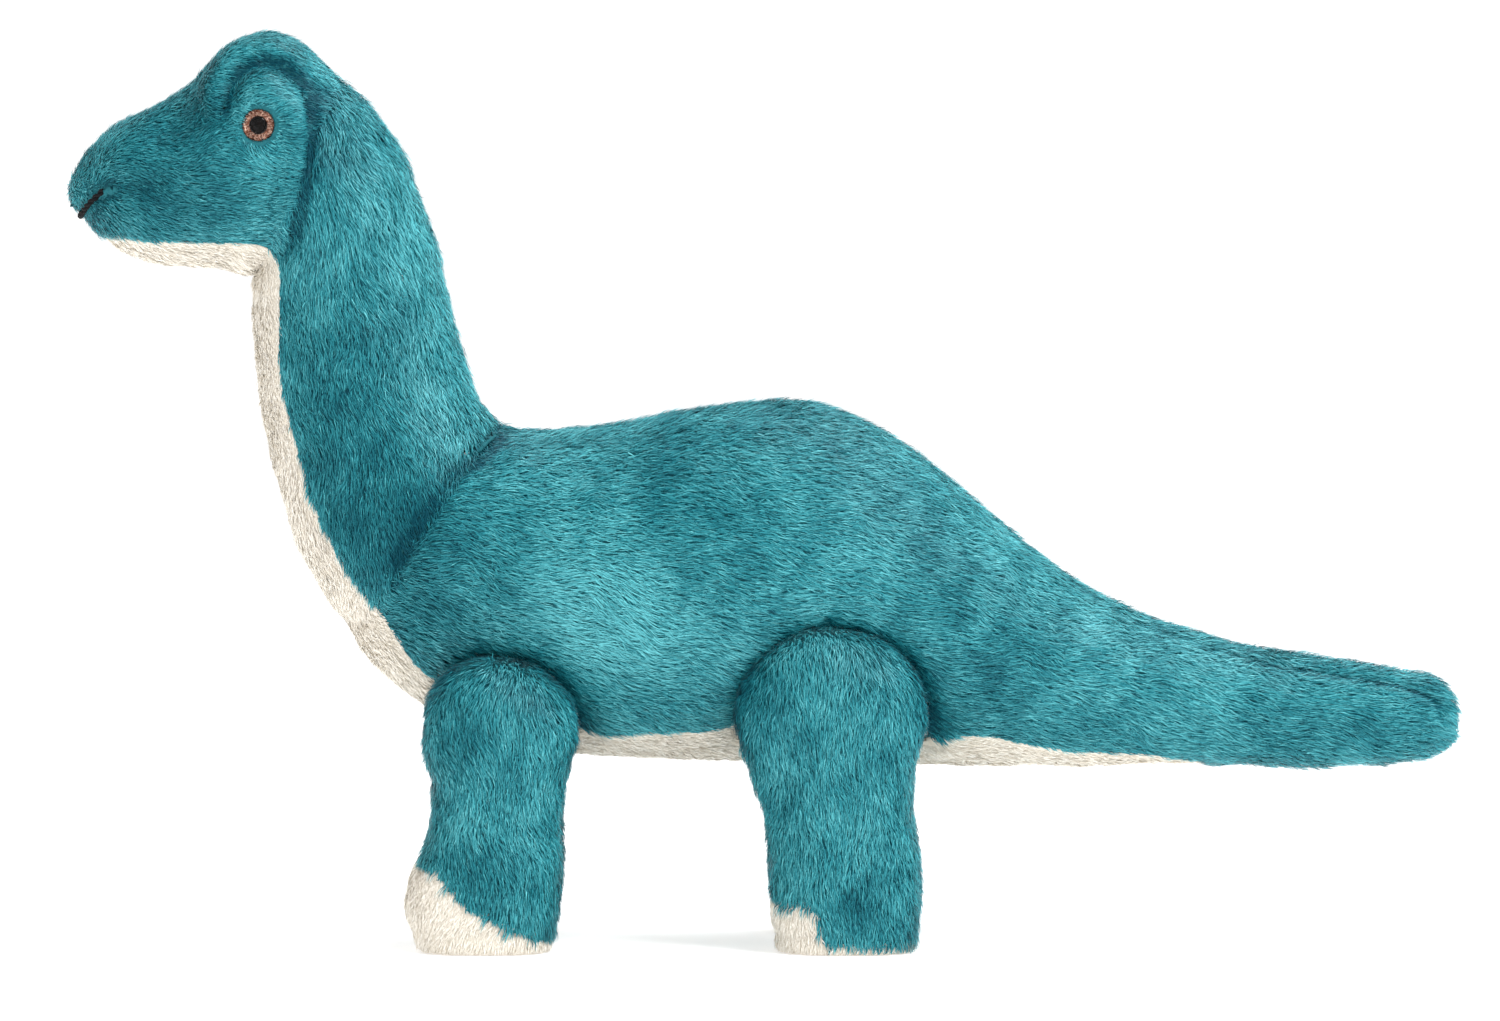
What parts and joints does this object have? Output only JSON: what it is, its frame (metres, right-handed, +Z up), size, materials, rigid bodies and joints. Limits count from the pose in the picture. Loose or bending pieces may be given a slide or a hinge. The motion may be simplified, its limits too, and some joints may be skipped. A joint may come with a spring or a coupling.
{
  "type": "stuffed dinosaur",
  "caption": "Stuffed long-necked dinosaur in teal and cream fur fabric that stands on its soles.",
  "frame": {"origin": "middle of the toy's footprint, on the floor it stands on", "axes": "+X towards the tail, head at -X; +Y to the toy's right; +Z up"},
  "size_m": [0.4784, 0.1242, 0.3144],
  "materials": {
    "teal_fur": "matte",
    "cream_fur": "matte",
    "fibre_filling": "matte",
    "black_thread": "matte",
    "black_plastic": "gloss",
    "clear_lens": "gloss",
    "copper_glitter": "satin",
    "white_plastic": "satin"
  },
  "bodies": {
    "body": {"body_stuffing": "fibre_filling", "body_side_left": "teal_fur", "body_side_right": "teal_fur", "belly_panel": "cream_fur"},
    "neck": {"neck_stuffing": "fibre_filling", "neck_side_left": "teal_fur", "neck_side_right": "teal_fur", "throat_panel": "cream_fur"},
    "head": {"head_stuffing": "fibre_filling", "head_side_left": "teal_fur", "head_side_right": "teal_fur", "crown_panel": "teal_fur", "chin_panel": "cream_fur", "mouth_thread": "black_thread", "eye_core_left": "black_plastic", "eye_lens_left": "clear_lens", "eye_glitter_left": "copper_glitter", "eye_washer_left": "white_plastic", "eye_core_right": "black_plastic", "eye_lens_right": "clear_lens", "eye_glitter_right": "copper_glitter", "eye_washer_right": "white_plastic"},
    "tail": {"tail_stuffing": "fibre_filling"},
    "leg_front_left": {"leg_stuffing_front_left": "fibre_filling", "leg_inner_front_left": "teal_fur", "leg_outer_front_left": "teal_fur", "toe_cap_front_left": "cream_fur", "sole_front_left": "cream_fur"},
    "leg_front_right": {"leg_stuffing_front_right": "fibre_filling", "leg_inner_front_right": "teal_fur", "leg_outer_front_right": "teal_fur", "toe_cap_front_right": "cream_fur", "sole_front_right": "cream_fur"},
    "leg_rear_left": {"leg_stuffing_rear_left": "fibre_filling", "leg_inner_rear_left": "teal_fur", "leg_outer_rear_left": "teal_fur", "toe_cap_rear_left": "cream_fur", "sole_rear_left": "cream_fur"},
    "leg_rear_right": {"leg_stuffing_rear_right": "fibre_filling", "leg_inner_rear_right": "teal_fur", "leg_outer_rear_right": "teal_fur", "toe_cap_rear_right": "cream_fur", "sole_rear_right": "cream_fur"}
  },
  "joints": [
    {"name": "neck_bend", "type": "hinge", "parent": "body", "child": "neck", "pos_m": [-0.117, 0, 0.1435], "axis": [0, 1, 0], "range_deg": [-9, 9], "stiffness_Nm_per_rad": 0.6, "deforming": ["body_side_left", "body_side_right", "belly_panel", "neck_side_left", "neck_side_right", "throat_panel"]},
    {"name": "head_nod", "type": "hinge", "parent": "neck", "child": "head", "pos_m": [-0.15975, 0, 0.26575], "axis": [0, 1, 0], "range_deg": [-10, 10], "stiffness_Nm_per_rad": 0.3, "deforming": ["neck_side_left", "neck_side_right", "throat_panel"]},
    {"name": "tail_swing", "type": "hinge", "parent": "body", "child": "tail", "pos_m": [0.076, 0, 0.106], "axis": [0, 0, 1], "range_deg": [-14, 14], "stiffness_Nm_per_rad": 0.3, "deforming": ["body_side_left", "body_side_right", "belly_panel"]},
    {"name": "leg_front_left_swing", "type": "hinge", "parent": "body", "child": "leg_front_left", "pos_m": [-0.091, -0.041, 0.073], "axis": [0, 1, 0], "range_deg": [-15, 15], "stiffness_Nm_per_rad": 1.2},
    {"name": "leg_front_right_swing", "type": "hinge", "parent": "body", "child": "leg_front_right", "pos_m": [-0.091, 0.041, 0.073], "axis": [0, 1, 0], "range_deg": [-15, 15], "stiffness_Nm_per_rad": 1.2},
    {"name": "leg_rear_left_swing", "type": "hinge", "parent": "body", "child": "leg_rear_left", "pos_m": [0.023, -0.041, 0.078], "axis": [0, 1, 0], "range_deg": [-15, 15], "stiffness_Nm_per_rad": 1.2},
    {"name": "leg_rear_right_swing", "type": "hinge", "parent": "body", "child": "leg_rear_right", "pos_m": [0.023, 0.041, 0.078], "axis": [0, 1, 0], "range_deg": [-15, 15], "stiffness_Nm_per_rad": 1.2}
  ]
}
